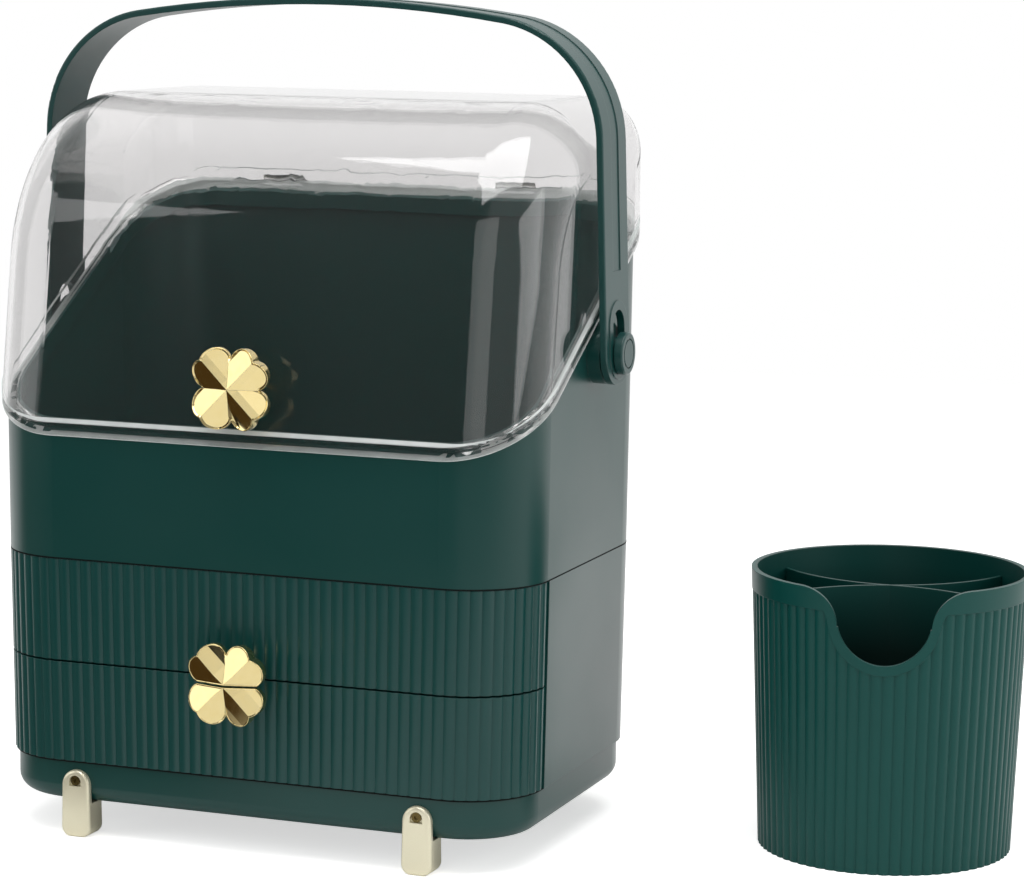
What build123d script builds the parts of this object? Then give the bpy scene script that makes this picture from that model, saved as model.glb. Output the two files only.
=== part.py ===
from build123d import *
import os
from math import atan2, cos, degrees, pi, radians, sin, sqrt, tan

# Dustproof makeup organizer: two drawers below, an open bin above with a slanted rim, a clear hinged
# cover, a carrying handle and a loose brush cup. Millimetres. The origin is on the surface that the feet
# stand on, under the middle of the case. +Z is up, the drawers face -Y and +X is to their right.

# ---------------------------------------------------------------- driving dimensions

# Case, measured at the seam between the drawer housing and the bin
case_width = 240.0
case_depth = 160.0
corner_radius = 34.0
lower_draft = 0.86          # degrees that the drawer housing widens going up
upper_draft = 0.46          # degrees that the bin widens going up
foot_height = 14.5          # surface to the underside of the plinth
plinth_height = 17.5
lower_drawer_height = 42.8
upper_drawer_height = 43.5
rim_front_height = 171.0    # of the slanted rim at the front of the case
rim_slope = 30.1            # degrees, rising to the back

# Mouldings of the case
plinth_inset = 1.7          # the plinth stands back from the housing above it
plinth_wall = 2.4
plinth_edge_radius = 7.0
housing_wall = 2.6
housing_plate = 2.4         # floor and deck of the housing
housing_back_wall = 3.0
runner_width = 7.0
runner_thickness = 2.0
drawer_wrap = 44.0          # the drawer fronts reach back to this far in front of the middle
bin_wall = 2.6
bin_floor = 2.6
rim_width = 5.2             # the bin's wall is thickened inwards at its rim
rim_depth = 6.0
rim_edge_radius = 1.6
lip_width = 1.3             # upstand inside the cover's foot
lip_height = 2.4
lip_back = 30.0             # the lip stops here, clear of the swing of the cover's back corners

# Screws that hold the case together
screw_shank_radius = 1.5
screw_head_radius = 2.9
screw_head_height = 1.6
bin_screw_length = 9.0
screw_hole_clearance = 0.1
screw_boss_radius = 4.6
case_screw_x = 96.0
case_screw_y = 56.0
bin_boss_height = 6.0

# Drawers
drawer_gap = 0.8            # between the drawer fronts, and between them and the case
drawer_front_thickness = 2.8
reed_pitch = 5.0
reed_height = 0.7
tray_side_gap = 1.6         # between the tray and the housing at each side
tray_lift = 0.4             # between the tray and the floor or runners under it
front_overlap = 0.5         # how far the tray reaches into its front
tray_wall = 1.8
tray_top_clearance = 2.4
tray_back_gap = 7.0
tray_back_radius = 22.0

# Clover knobs
lobe_radius = 6.0
lobe_near = 5.8             # each leaf has two lobes, this far off one axis
lobe_far = 10.6             # and this far along the other
clover_core_radius = 11.0
drawer_knob_reach = 18.4     # from the face that it stands on to its ridges
cover_knob_reach = 15.6
knob_plate = 2.6
knob_ridge_height = 3.2
knob_ridge_slope = 0.36
knob_stem_radius = 5.0
half_knob_stem_radius = 4.0
half_knob_stem_offset = 7.5
knob_above_rim = 23.7        # of the cover's knob, over the front of the case's rim
knob_pad_depth = 4.4         # of the cover's wall and the pad behind its knob
knob_screw_radius = 1.7
knob_screw_head_radius = 3.4
knob_screw_head_height = 1.8
knob_screw_grip = 8.0

# Clear cover
cover_wall = 2.2
cover_outset = 1.0          # its outer face stands proud of the bin's by this at the front
cover_top_height = 308.3
cover_front_lean = 0.145    # mm backwards for each mm up
cover_side_round = 30.0     # of its side edges, all the way round the side view
cover_front_round = 69.0
cover_front_drop = 65.0
cover_back_round = 9.0
flange_height = 5.7
flange_outset = 2.6
flange_foot = 3.4           # how far in over the rim the flange's foot reaches
flange_edge_radius = 0.7

# Cover hinge
hinge_axis_gap = 6.2        # from the back of the case to the hinge axis
hinge_axis_drop = 0.4       # below the rim at the back of the case
knuckle_radius = 3.0
ear_height = 12.0           # of the gusset that carries each knuckle of the bin
ear_drop = 0.6              # its top lies this far below the hinge axis
ear_root = 0.8              # how far it reaches into the bin's wall
hinge_pin_radius = 1.5
hinge_pin_head_radius = 2.4
hinge_pin_head_length = 1.0
cover_knuckle_start = 46.0
knuckle_split = 65.7
case_knuckle_end = 80.5
knuckle_gap = 0.3
pin_fit = 0.02
running_fit = 0.05

# Carrying handle and its pivots
pivot_height = 205.6
pivot_y = 7.4
strap_width = 29.6
strap_thickness = 2.8
handle_room = 38.1          # for the fingers, between the cover and the raised handle
arm_overhang = 10.2         # outer face of each arm beyond the case's half width, at the pivot
arm_lean = 2.0              # degrees inwards going up
bend_radius = 52.0
crown_radius = 545.0
arm_end_below_pivot = 12.8
strap_end_radius = 12.4      # of the corners at the foot of each arm
slot_width = 14.0
slot_travel = 11.0          # the handle drops by this much on its pivots
slot_rim_width = 4.0
slot_rim_height = 0.4
strap_edge_radius = 0.8
strap_groove_width = 9.0
strap_groove_depth = 0.4
strap_groove_end = 34.0     # above the pivot
pivot_boss_radius = 13.0
arm_play = 0.9              # between the boss and the arm
post_radius = 3.0
bush_radius = 4.5
bush_bead_height = 0.35
bush_bead_width = 0.8
hub_side_play = 0.4
cap_radius = 8.8
cap_gap = 1.0               # between the arm's outer face at the pivot and the cap
cap_thickness = 3.6
cap_face_wall = 1.4
cap_step_radius = 6.3
cap_step_depth = 0.5
pivot_screw_head_radius = 3.7
pivot_screw_head_height = 1.3
pivot_screw_length = 9.0
pivot_screw_radius = 1.3

# Feet
foot_inset = 43.0           # middle of each foot, in from the side of the case
foot_width = 13.2
foot_tab_thickness = 2.6
foot_peg_depth = 13.0
foot_tab_top = 28.6
foot_round = 2.6
foot_recess_width = 5.4
foot_recess_height = 4.6
foot_recess_depth = 1.5
foot_recess_below_top = 2.2
foot_screw_radius = 1.2
foot_screw_head_radius = 2.1
foot_screw_head_height = 1.2
foot_screw_length = 7.0

# Brush cup, which stands by itself beside the case
cup_x = 238.0
cup_y = 46.0
cup_turn = 12.0             # degrees: its notch faces a little to the right
cup_height = 117.0
cup_rim_radius = 57.5
cup_base_radius = 52.8
cup_wall = 2.2
cup_floor = 2.4
cup_flutes = 72
cup_flute_depth = 0.8
cup_band_height = 9.0
cup_band_outset = 0.2
notch_depth = 30.0
notch_radius = 19.0
notch_flare_radius = 15.0
notch_border = 4.0
divider_wall = 1.6
divider_below_rim = 7.0
divider_gap = 0.3
divider_angle = 36.0
divider_bulge = 7.0

# ---------------------------------------------------------------- heights and faces that follow

plinth_top = foot_height + plinth_height
knob_height_on_cover = rim_front_height + knob_above_rim
handle_top_height = cover_top_height + handle_room + strap_thickness
drawer_split = plinth_top + lower_drawer_height
seam_height = drawer_split + upper_drawer_height
rim_rise = tan(radians(rim_slope))
arm_spread = case_width / 2 + arm_overhang
foot_x = case_width / 2 - foot_inset
BIG = 2 * (case_width + case_depth + handle_top_height)


def outer_growth(height):
    """How much further out than at the seam the case's outer face is at this height."""
    draft = upper_draft if height >= seam_height else lower_draft
    return (height - seam_height) * tan(radians(draft))


def rim_height(y):
    """Height of the slanted rim at this distance behind the middle of the case."""
    return rim_front_height + (y + case_depth / 2) * rim_rise


def case_block(low, high, inset=0.0):
    """A solid as wide as the case, less an inset all round, that follows the drafted outer faces."""
    growth = outer_growth(low) - inset
    plan = RectangleRounded(case_width + 2 * growth, case_depth + 2 * growth, corner_radius + growth)
    draft = upper_draft if low >= seam_height else lower_draft
    return extrude(Pos(0, 0, low) * plan, amount=high - low, taper=-draft)


def box(x0, x1, y0, y1, z0, z1):
    """A box between two corners."""
    return Pos((x0 + x1) / 2, (y0 + y1) / 2, (z0 + z1) / 2) * Box(x1 - x0, y1 - y0, z1 - z0)


def rod(point, direction, radius, length):
    """A round bar that starts at a point and runs along a direction."""
    return Plane(origin=point, z_dir=direction) * Pos(0, 0, length / 2) * Cylinder(radius, length)


def screw(point, direction, shank, head, head_height, length):
    """A pan-head screw: the point is under the head, and the shank runs along the direction."""
    back = tuple(-d for d in direction)
    body = rod(point, direction, shank, length) + rod(point, back, head, head_height)
    top = tuple(p + b * head_height for p, b in zip(point, back))
    drive = rod(top, direction, head * 0.4, head_height / 2)
    return body - drive


rim_plane = Plane(
    origin=(0, -case_depth / 2, rim_front_height),
    x_dir=(1, 0, 0),
    z_dir=(0, -sin(radians(rim_slope)), cos(radians(rim_slope))),
)


def rim_slab(low, high):
    """Everything between two distances above the slanted rim."""
    return rim_plane * Pos(0, 0, (low + high) / 2) * Box(BIG, BIG, high - low)


corner_screws = [(sx * case_screw_x, sy * case_screw_y) for sx in (-1, 1) for sy in (-1, 1)]

# ---------------------------------------------------------------- plinth and feet

plinth_half_depth = case_depth / 2 + outer_growth(plinth_top) - plinth_inset


def plinth_block(inset, low):
    """The plinth's outer form, less an inset, from a height up to its top."""
    growth = outer_growth(plinth_top) - plinth_inset - inset
    plan = RectangleRounded(case_width + 2 * growth, case_depth + 2 * growth, corner_radius + growth)
    return extrude(Pos(0, 0, low) * plan, amount=plinth_top - low)


def make_plinth():
    """An open tray with a rounded lower edge and four screw posts."""
    outer = plinth_block(0, foot_height)
    outer = fillet(outer.faces().sort_by(Axis.Z)[0].edges(), plinth_edge_radius)
    inner = plinth_block(plinth_wall, foot_height + plinth_wall)
    inner = fillet(inner.faces().sort_by(Axis.Z)[0].edges(), plinth_edge_radius - plinth_wall)
    tray = outer - inner
    for x, y in corner_screws:
        tray += rod((x, y, foot_height), (0, 0, 1), screw_boss_radius, plinth_height)
    for x, y in corner_screws:
        hole = screw_shank_radius + screw_hole_clearance
        head = screw_head_radius + screw_hole_clearance
        tray -= rod((x, y, foot_height), (0, 0, 1), hole, plinth_height)
        tray -= rod((x, y, foot_height), (0, 0, 1), head, plinth_height - plinth_wall)
    for sx in (-1, 1):
        for sy in (-1, 1):
            point = (sx * foot_x, sy * (plinth_half_depth + 1), foot_screw_height)
            tray -= rod(point, (0, -sy, 0), foot_screw_radius + screw_hole_clearance, plinth_wall + 2)
    return tray


foot_screw_height = foot_tab_top - foot_recess_below_top - foot_recess_height / 2


def make_foot(sx, sy):
    """A die-cast foot: a peg under the plinth, and a round-topped tab up its outer face."""
    face = plinth_half_depth + foot_tab_thickness
    tab_plan = Rectangle(foot_width, foot_tab_top - foot_width / 2, align=(Align.CENTER, Align.MIN))
    tab_plan += Pos(0, foot_tab_top - foot_width / 2) * Circle(foot_width / 2)
    front = Plane(origin=(0, -face, 0), x_dir=(1, 0, 0), z_dir=(0, -1, 0))
    tab = extrude(front * tab_plan, amount=-foot_peg_depth)
    tab = fillet(tab.faces().sort_by(Axis.Z)[0].edges(), foot_round)
    cut = box(-BIG, BIG, -plinth_half_depth, 0, foot_height, foot_tab_top + 1)
    tab -= cut
    recess_plan = Rectangle(foot_recess_width, foot_recess_height / 2, align=(Align.CENTER, Align.MAX))
    recess_plan += Circle(foot_recess_width / 2)
    recess_front = Plane(origin=(0, -face, foot_screw_height), z_dir=(0, -1, 0), x_dir=(1, 0, 0))
    recess = extrude(recess_front * recess_plan, amount=-foot_recess_depth)
    tab -= recess
    tab -= rod((0, -face, foot_screw_height), (0, 1, 0), foot_screw_radius + screw_hole_clearance,
               2 * foot_tab_thickness)
    turn = 0 if sy < 0 else 180
    return Pos(sx * foot_x, 0, 0) * Rot(0, 0, turn) * tab


def make_foot_screws():
    """The screw in the recess of each foot, driven into the plinth's wall."""
    seat = plinth_half_depth + foot_tab_thickness - foot_recess_depth
    return [
        screw((sx * foot_x, sy * seat, foot_screw_height), (0, -sy, 0), foot_screw_radius,
              foot_screw_head_radius, foot_screw_head_height, foot_screw_length)
        for sx in (-1, 1) for sy in (-1, 1)
    ]


def make_case_screws(seat_height, length):
    """Four screws driven upwards, with their heads just under this height."""
    return [
        screw((x, y, seat_height), (0, 0, 1), screw_shank_radius,
              screw_head_radius, screw_head_height, length)
        for x, y in corner_screws
    ]


# ---------------------------------------------------------------- drawer housing

cavity_half_width = case_width / 2 + outer_growth(plinth_top) - housing_wall
cavity_back = case_depth / 2 + outer_growth(plinth_top) - housing_back_wall
cavity_floor = plinth_top + housing_plate
cavity_top = seam_height - housing_plate
front_inset = reed_height + drawer_front_thickness + drawer_gap


def make_housing():
    """The box that the drawers slide in: floor, deck, back and sides, open all across the front."""
    full = case_block(plinth_top, seam_height)
    plates = case_block(plinth_top, seam_height, front_inset)
    body = full & box(-BIG, BIG, -drawer_wrap, BIG, 0, BIG)
    body += plates & box(-BIG, BIG, -BIG, -drawer_wrap, 0, BIG)
    plan = RectangleRounded(2 * cavity_half_width, 2 * cavity_back, corner_radius - housing_back_wall)
    cavity = extrude(Pos(0, 0, cavity_floor) * plan, amount=cavity_top - cavity_floor)
    cavity += box(-cavity_half_width, cavity_half_width, -BIG, 0, cavity_floor, cavity_top)
    cavity += box(-BIG, BIG, -BIG, -drawer_wrap, cavity_floor, cavity_top)
    body -= cavity
    for side in (-1, 1):
        inner = side * (cavity_half_width - runner_width)
        outer = side * (cavity_half_width + 1)
        body += box(min(inner, outer), max(inner, outer), -drawer_wrap, cavity_back - corner_radius,
                    runner_top - runner_thickness, runner_top)
    for x, y in corner_screws:
        hole = screw_shank_radius + screw_hole_clearance
        body -= rod((x, y, plinth_top - 1), (0, 0, 1), hole, housing_plate + 2)
        body -= rod((x, y, cavity_top - 1), (0, 0, 1), hole, housing_plate + 2)
    return body


runner_top = drawer_split + runner_thickness / 2

# ---------------------------------------------------------------- drawers


def reeded_wire(height, outset):
    """The case's outline at a height, with upright reeds round the front and its two corners."""
    growth = outer_growth(height) - reed_height
    half_x = case_width / 2 + growth
    half_y = case_depth / 2 + growth
    radius = corner_radius + growth
    straight = half_x - radius
    arc = radius * pi / 2
    side = drawer_wrap - (half_y - radius)
    count = round((case_width / 2 - corner_radius + corner_radius * pi / 2) / reed_pitch)
    step = (straight + arc) / count

    def place(s, out):
        """A point at a distance along the outline from the middle of the front, and its outset."""
        sign = 1 if s >= 0 else -1
        s = abs(s)
        if s <= straight:
            x, y, nx, ny = s, -half_y, 0.0, -1.0
        else:
            angle = (s - straight) / radius
            nx, ny = sin(angle), -cos(angle)
            x, y = straight + radius * nx, -half_y + radius + radius * ny
        return (sign * (x + nx * out), y + ny * out, height)

    edges = []
    for i in range(-count, count):
        edges.append(ThreePointArc(place(i * step, outset), place((i + 0.5) * step, outset + reed_height),
                                   place((i + 1) * step, outset)))
    right = place(count * step, outset)
    left = place(-count * step, outset)
    back = 0.0
    edges.append(Line(right, (right[0], back, height)))
    edges.append(Line((right[0], back, height), (left[0], back, height)))
    edges.append(Line((left[0], back, height), left))
    return Wire(edges)


def make_drawer(low, high, tray_low, tray_high, knob_side):
    """A one-piece drawer: a tray, and a reeded front that wraps both corners of the case."""
    bottom = low + drawer_gap / 2
    top = high - drawer_gap / 2
    front = Solid.make_loft([reeded_wire(bottom, 0), reeded_wire(top, 0)], ruled=True)
    inner = case_block(low, high, reed_height + drawer_front_thickness)
    skin = front - inner
    skin &= box(-BIG, BIG, -BIG, -drawer_wrap - drawer_gap / 2, 0, BIG)
    tray_half = cavity_half_width - tray_side_gap
    tray_back = cavity_back - tray_back_gap
    outline = case_block(low, high, reed_height + drawer_front_thickness - front_overlap)
    plan = Pos(0, (tray_back - case_depth) / 2) * RectangleRounded(
        2 * tray_half, tray_back + case_depth, tray_back_radius)
    tray = extrude(Pos(0, 0, tray_low) * plan, amount=tray_high - tray_low) & outline
    hollow_plan = Pos(0, (tray_back - case_depth) / 2) * RectangleRounded(
        2 * (tray_half - tray_wall), tray_back + case_depth - 2 * tray_wall, tray_back_radius - tray_wall)
    hollow = extrude(Pos(0, 0, tray_low + tray_wall) * hollow_plan, amount=high)
    tray -= hollow & inner
    drawer = skin + tray
    z = drawer_split + knob_side * half_knob_stem_offset
    drawer -= rod((0, -case_depth, z), (0, 1, 0), knob_screw_radius + screw_hole_clearance, case_depth / 2 + 20)
    return drawer


# ---------------------------------------------------------------- clover knobs


def clover_plan():
    """Four leaves, each of two lobes, as seen from the front."""
    plan = Circle(clover_core_radius)
    for sx in (-1, 1):
        for sy in (-1, 1):
            plan += Pos(sx * lobe_near, sy * lobe_far) * Circle(lobe_radius)
            plan += Pos(sx * lobe_far, sy * lobe_near) * Circle(lobe_radius)
    return plan


def clover(point_y, z):
    """The knob's head, its ridges' top at this y. Each leaf has a ridge along its diagonal."""
    front = Plane(origin=(0, 0, 0), x_dir=(1, 0, 0), z_dir=(0, -1, 0))
    deep = knob_plate + knob_ridge_height
    head = extrude(front * clover_plan(), amount=-deep)
    plate = Pos(0, knob_ridge_height, 0) * extrude(front * clover_plan(), amount=-knob_plate)
    reach = 2 * (lobe_far + lobe_radius)
    fall = knob_ridge_slope * reach
    foot = deep + fall
    roof = make_face(Polyline((0, 0), (reach, fall), (reach, foot), (-reach, foot), (-reach, fall), close=True))
    ridge = extrude(roof, amount=reach, both=True)
    ridges = Rot(0, 45, 0) * ridge + Rot(0, -45, 0) * ridge
    return Pos(0, point_y, z) * (plate + (head & ridges))


knob_head_depth = knob_plate + knob_ridge_height


drawer_face = -(case_depth / 2 + outer_growth(drawer_split))


def make_half_knob(side):
    """Half of the drawers' clover, cut along the line between the two drawer fronts."""
    head = clover(drawer_face - drawer_knob_reach, drawer_split)
    start = drawer_face - drawer_knob_reach + knob_head_depth
    z = drawer_split + side * half_knob_stem_offset
    stem = rod((0, start, z), (0, 1, 0), half_knob_stem_radius, drawer_knob_reach)
    stem -= case_block(plinth_top, seam_height)
    low = drawer_split + drawer_gap / 2 if side > 0 else -BIG
    high = BIG if side > 0 else drawer_split - drawer_gap / 2
    half = (head & box(-BIG, BIG, -BIG, BIG, low, high)) + stem
    depth = knob_screw_grip
    return half - rod((0, drawer_face - depth, z), (0, 1, 0), knob_screw_radius + running_fit, depth + 1)


def make_half_knob_screw(side):
    """Screw from inside the drawer into the stem of its half of the knob."""
    z = drawer_split + side * half_knob_stem_offset
    high_edge = z - knob_screw_head_radius
    seat = reed_height + drawer_front_thickness - case_depth / 2 - outer_growth(high_edge)
    return screw((0, seat, z), (0, -1, 0), knob_screw_radius, knob_screw_head_radius,
                 knob_screw_head_height, drawer_front_thickness + knob_screw_grip - 1)


# ---------------------------------------------------------------- bin

bin_floor_top = seam_height + bin_floor
upper_block_top = rim_height(case_depth / 2) + 20
pivot_point = (pivot_y, pivot_height)
arm_inner_face = arm_spread - strap_thickness
boss_face = arm_inner_face - arm_play
back_face = case_depth / 2 + outer_growth(rim_height(case_depth / 2))
hinge_y = back_face + hinge_axis_gap
hinge_z = rim_height(back_face) - hinge_axis_drop


def across(side, start, radius, length, y=pivot_y, z=pivot_height):
    """A round bar along X at the pivot, starting at this distance from the middle and going outwards."""
    return rod((side * start, y, z), (side, 0, 0), radius, length)


def knuckle(side, start, end, web_profile):
    """A hinge knuckle between two distances from the middle, with the web that carries it."""
    barrel = across(side, start, knuckle_radius, end - start, hinge_y, hinge_z)
    web = extrude(Plane.YZ * web_profile, amount=end - start)
    shift = start if side > 0 else -end
    return barrel + Pos(shift, 0, 0) * web


def make_bin():
    """The open bin: a slanted rim, pivot bosses on its sides and hinge ears at its back."""
    below_rim = rim_slab(-BIG / 2, 0)
    body = case_block(seam_height, upper_block_top) & below_rim
    top = max(body.faces(), key=lambda f: rim_plane.to_local_coords(f.center()).Z)
    body = fillet(top.outer_wire().edges(), rim_edge_radius)
    hollow = case_block(bin_floor_top, upper_block_top, bin_wall) & rim_slab(-BIG / 2, -rim_depth)
    mouth = case_block(bin_floor_top, upper_block_top, rim_width)
    body -= hollow
    body -= mouth
    lip = case_block(bin_floor_top, upper_block_top, rim_width - lip_width) & rim_slab(-1, lip_height)
    lip -= mouth
    lip &= box(-BIG, BIG, -BIG, lip_back, 0, BIG)
    body += lip
    for x, y in corner_screws:
        body += rod((x, y, seam_height), (0, 0, 1), screw_boss_radius, bin_floor + bin_boss_height)
        body -= rod((x, y, seam_height), (0, 0, 1), screw_shank_radius + running_fit, bin_screw_length)
    root = back_face - ear_root
    ear_end = (hinge_y + 0.6 * knuckle_radius, hinge_z - 0.8 * knuckle_radius)
    ear_top = hinge_z - ear_drop
    ear = make_face(Polyline((root, hinge_z - ear_height), ear_end, (hinge_y, ear_top), (root, ear_top), close=True))
    for side in (-1, 1):
        inside = case_width / 2 - bin_wall / 2
        body += across(side, inside, pivot_boss_radius, boss_face - inside)
        body += across(side, inside, post_radius, post_end - inside)
        pilot = pivot_screw_radius + running_fit
        body -= across(side, post_end - pivot_screw_length - 0.5, pilot, pivot_screw_length + 1)
        body += knuckle(side, knuckle_split + knuckle_gap / 2, case_knuckle_end, ear)
        body -= across(side, knuckle_split, hinge_pin_radius + pin_fit, BIG / 4, hinge_y, hinge_z)
    return body


cap_inner = arm_spread + cap_gap
cap_outer = cap_inner + cap_thickness
bush_start = boss_face + 0.2
bush_end = cap_outer - cap_face_wall - pivot_screw_head_height - 0.2
post_end = bush_end + 0.1


def make_bush(side):
    """The sleeve on the bin's post. The handle's pivot snaps over its bead."""
    length = bush_end - bush_start
    bush = across(side, bush_start, bush_radius, length)
    middle = (bush_start + bush_end) / 2
    bush += across(side, middle - bush_bead_width / 2, bush_radius + bush_bead_height, bush_bead_width)
    return bush - across(side, bush_start - 1, post_radius + running_fit, length + 2)


def make_pivot_cap(side):
    """A hub that fills the width of the handle's slot, with the round cap that keeps the arm on it."""
    hub_start = bush_start + 0.1
    cap = across(side, hub_start, slot_width / 2 - hub_side_play, cap_outer - hub_start)
    disc = across(side, cap_inner, cap_radius, cap_thickness)
    rim = max(disc.faces(), key=lambda f: side * f.center().X)
    disc = fillet(rim.edges(), 0.8)
    cap += disc
    step = across(side, cap_outer - cap_step_depth, cap_step_radius, cap_step_depth + 1)
    cap -= step - across(side, cap_outer - 2, cap_step_radius - 0.7, 4)
    bore = cap_outer - cap_face_wall - hub_start
    cap -= across(side, hub_start, bush_radius + running_fit, bore)
    middle = (bush_start + bush_end) / 2
    cap -= across(side, middle - bush_bead_width / 2 - running_fit, bush_radius + bush_bead_height + running_fit,
                  bush_bead_width + 2 * running_fit)
    return cap


def make_pivot_screw(side):
    """The screw that keeps the bush on its post, under the cap."""
    return screw((side * post_end, pivot_y, pivot_height), (-side, 0, 0), pivot_screw_radius,
                 pivot_screw_head_radius, pivot_screw_head_height, pivot_screw_length)


def make_hinge_pin(side):
    """The headed pin through both knuckles of one hinge."""
    start = cover_knuckle_start - 0.5
    length = case_knuckle_end - start
    pin = across(side, start, hinge_pin_radius, length, hinge_y, hinge_z)
    return pin + across(side, case_knuckle_end, hinge_pin_head_radius, hinge_pin_head_length, hinge_y, hinge_z)


# ---------------------------------------------------------------- clear cover


def corner_curve(start, corner, end):
    """A rounded corner, as a curve that leaves its start and meets its end along the two sides."""
    k = 0.5523
    first = tuple(a + k * (c - a) for a, c in zip(start, corner))
    second = tuple(b + k * (c - b) for b, c in zip(end, corner))
    return Bezier(start, first, second, end)


def cover_block(inset):
    """The cover's outer form, less an inset, from well below its flange."""
    base = rim_front_height - 20
    top = cover_top_height - inset
    reference = rim_front_height + 3
    front = -(case_depth / 2 + outer_growth(reference) + cover_outset - inset)

    def front_at(z):
        return front + (z - reference) * cover_front_lean

    bend = top - (cover_front_drop - inset)
    level = front_at(bend) + cover_front_round - inset
    back = back_face + cover_outset - inset
    side_view = [
        Line((front_at(base), base), (front_at(bend), bend)),
        corner_curve((front_at(bend), bend), (front_at(top), top), (level, top)),
        Line((level, top), (back, top)),
        Line((back, top), (back, base)),
        Line((back, base), (front_at(base), base)),
    ]
    half = case_width / 2 + outer_growth(rim_height(0)) + cover_outset - inset
    block = extrude(Plane.YZ * make_face(side_view), amount=half, both=True)
    ends = block.faces().sort_by(Axis.X)
    loops = [e for f in (ends[0], ends[-1]) for e in f.edges() if e.center().Z > base + 0.1]
    block = fillet(loops, cover_side_round - inset)
    rear = [e for e in block.edges() if e.center().Z > top - cover_side_round and e.center().Y > level + 1
            and e.geom_type != GeomType.CIRCLE and abs(e.center().X) < half - 1
            and (abs(e.center().Y - back) < 0.1 or e.geom_type == GeomType.ELLIPSE)]
    return fillet(rear, cover_back_round - inset)


probe = cover_block(0) & rod((0, -2 * case_depth, knob_height_on_cover), (0, 1, 0), 0.01, 3 * case_depth)
cover_face = min(corner.Y for corner in probe.vertices())
cover_knob_seat = cover_face + knob_pad_depth


def make_cover():
    """The clear dome with its flange, its two hinge knuckles and the pad behind its knob."""
    wall = cover_block(0) & rim_slab(flange_height / 2, BIG / 2)
    flange = case_block(seam_height, upper_block_top + 30, -flange_outset) & rim_slab(0, flange_height)
    low = min(flange.faces(), key=lambda f: rim_plane.to_local_coords(f.center()).Z)
    high = max(flange.faces(), key=lambda f: rim_plane.to_local_coords(f.center()).Z)
    flange = fillet(low.edges() + high.edges(), flange_edge_radius)
    cover = wall + flange
    cover -= cover_block(cover_wall) & rim_slab(flange_height / 2, BIG / 2)
    opening = case_block(seam_height, upper_block_top + 30, flange_foot)
    opening &= rim_slab(-1, flange_height / 2 + 0.2)
    cover -= opening
    pad = rod((0, -case_depth, knob_height_on_cover), (0, 1, 0), knob_screw_head_radius + 1.6,
              case_depth + cover_knob_seat)
    cover += pad & cover_block(cover_wall / 2)
    cover -= rod((0, -case_depth, knob_height_on_cover), (0, 1, 0), knob_screw_radius + screw_hole_clearance,
                 case_depth)
    web_top = hinge_z + knuckle_radius
    web_root = back_face + flange_outset - 1
    web = make_face(Polyline((hinge_y, hinge_z + 1.2), (hinge_y, web_top), (web_root, web_top + 3),
                             (web_root, rim_height(web_root) + 0.6), close=True))
    for side in (-1, 1):
        cover += knuckle(side, cover_knuckle_start, knuckle_split - knuckle_gap / 2, web)
        cover -= across(side, cover_knuckle_start - 1, hinge_pin_radius + running_fit,
                        knuckle_split - cover_knuckle_start + 2, hinge_y, hinge_z)
    return cover


def make_cover_knob():
    """The whole clover on the cover's front."""
    head = clover(cover_face - cover_knob_reach, knob_height_on_cover)
    start = cover_face - cover_knob_reach + knob_head_depth
    stem = rod((0, start, knob_height_on_cover), (0, 1, 0), knob_stem_radius, case_depth / 2) - cover_block(0)
    knob = head + stem
    reach = knob_screw_grip
    return knob - rod((0, cover_face - reach, knob_height_on_cover), (0, 1, 0), knob_screw_radius + running_fit,
                      case_depth / 2)


def make_cover_knob_screw():
    """Screw from inside the cover into the stem of its knob."""
    grip = cover_knob_seat - cover_face + knob_screw_grip - 1
    return screw((0, cover_knob_seat, knob_height_on_cover), (0, -1, 0), knob_screw_radius,
                 knob_screw_head_radius, knob_screw_head_height, grip)


# ---------------------------------------------------------------- carrying handle


def arch_face(inset):
    """The handle's arch as seen from the front, less an inset, filled down to below the pivots."""
    lean = radians(arm_lean)
    nx, nz = cos(lean), sin(lean)
    crown_centre = handle_top_height - crown_radius
    start_x = arm_spread - bend_radius * nx
    start_z = pivot_height - bend_radius * nz
    # distance along the arm at which the bend's centre is right for both of its neighbours
    dx, dz = -sin(lean), cos(lean)
    px, pz = start_x, start_z - crown_centre
    b = px * dx + pz * dz
    c = px * px + pz * pz - (crown_radius - bend_radius) ** 2
    s = -b + sqrt(b * b - c)
    cx, cz = start_x + s * dx, start_z + s * dz
    away = atan2(cz - crown_centre, cx)
    r = bend_radius - inset
    half = (degrees(lean) + degrees(away)) / 2
    low = pivot_height - 2 * strap_width
    fall = (cz + r * nz - low) / dz
    foot = (cx + r * nx - fall * dx, low)
    bend_start = (cx + r * nx, cz + r * nz)
    bend_middle = (cx + r * cos(radians(half)), cz + r * sin(radians(half)))
    bend_end = (cx + r * cos(away), cz + r * sin(away))
    lines = [Line((-foot[0], low), foot)]
    for side in (-1, 1):
        lines.append(Line((side * foot[0], low), (side * bend_start[0], bend_start[1])))
        lines.append(ThreePointArc((side * bend_start[0], bend_start[1]), (side * bend_middle[0], bend_middle[1]),
                                   (side * bend_end[0], bend_end[1])))
    lines.append(ThreePointArc((-bend_end[0], bend_end[1]), (0, handle_top_height - inset), bend_end))
    return make_face(lines)


def arch(inset, width):
    """The arch, less an inset, as a solid of some width across the strap."""
    return extrude(Plane(origin=(0, pivot_y, 0), x_dir=(1, 0, 0), z_dir=(0, -1, 0)) * arch_face(inset),
                   amount=width / 2, both=True)


def slot_plan(grow):
    """The slot in the side view, grown all round. It reaches up from the pivot."""
    half = slot_width / 2 + grow
    plan = Pos(0, pivot_height) * Circle(half) + Pos(0, pivot_height + slot_travel) * Circle(half)
    return plan + Pos(0, pivot_height + slot_travel / 2) * Rectangle(2 * half, slot_travel)


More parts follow.
